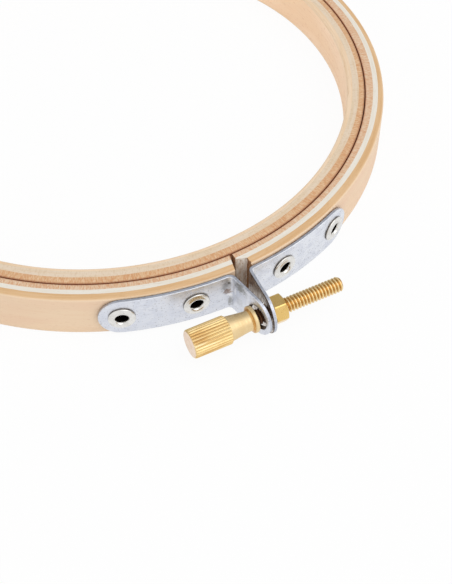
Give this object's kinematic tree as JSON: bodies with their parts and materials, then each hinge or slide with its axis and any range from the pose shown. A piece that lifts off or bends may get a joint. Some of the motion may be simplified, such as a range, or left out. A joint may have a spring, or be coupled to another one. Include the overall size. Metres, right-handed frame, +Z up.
{
  "type": "embroidery hoop",
  "caption": "Round beech plywood embroidery hoop: an inner hoop sits in a split outer hoop that a brass thumbscrew draws tight.",
  "frame": {"origin": "middle of the bottom of the whole, clamp included, on the surface that the hoop lies on", "axes": "+Z up along the hoops' axis, -Y towards the screw clamp, +X towards the screw's threaded end"},
  "size_m": [0.1336, 0.1468, 0.0104],
  "materials": {
    "speckled_beech": "sawn end grain",
    "pale_beech": "sawn",
    "golden_beech": "sanded smooth",
    "zinc_plated_steel": "satin",
    "nickel_plated_brass": "bright",
    "turned_brass": "bright"
  },
  "bodies": {
    "outer_hoop": {"outer_hoop_inner_ply": "speckled_beech", "outer_hoop_core_ply": "pale_beech", "outer_hoop_outer_ply": "golden_beech", "left_bracket": "zinc_plated_steel", "right_bracket": "zinc_plated_steel", "left_far_eyelet": "nickel_plated_brass", "left_near_eyelet": "nickel_plated_brass", "right_near_eyelet": "nickel_plated_brass", "right_far_eyelet": "nickel_plated_brass"},
    "inner_hoop": {"inner_hoop_outer_ply": "speckled_beech", "inner_hoop_core_ply": "pale_beech", "inner_hoop_inner_ply": "golden_beech"},
    "thumbscrew": {"thumbscrew": "turned_brass"},
    "nut": {"nut": "turned_brass"}
  },
  "joints": [
    {"name": "inner_hoop_lift", "type": "slide", "parent": "outer_hoop", "child": "inner_hoop", "axis": [0, 0, 1], "range_m": [0, 0.03]},
    {"name": "thumbscrew_turn", "type": "hinge", "parent": "outer_hoop", "child": "thumbscrew", "pos_m": [0, -0.06944, 0.0052], "axis": [-0.9992, 0.041, 0], "range_deg": [0, 5760]},
    {"name": "nut_travel", "type": "slide", "parent": "outer_hoop", "child": "nut", "axis": [0.9992, -0.041, 0], "range_m": [0, 0.012]}
  ],
  "couplings": [
    {"joint": "thumbscrew_turn", "follows": "nut_travel", "rad_per_m": 8377.6}
  ]
}
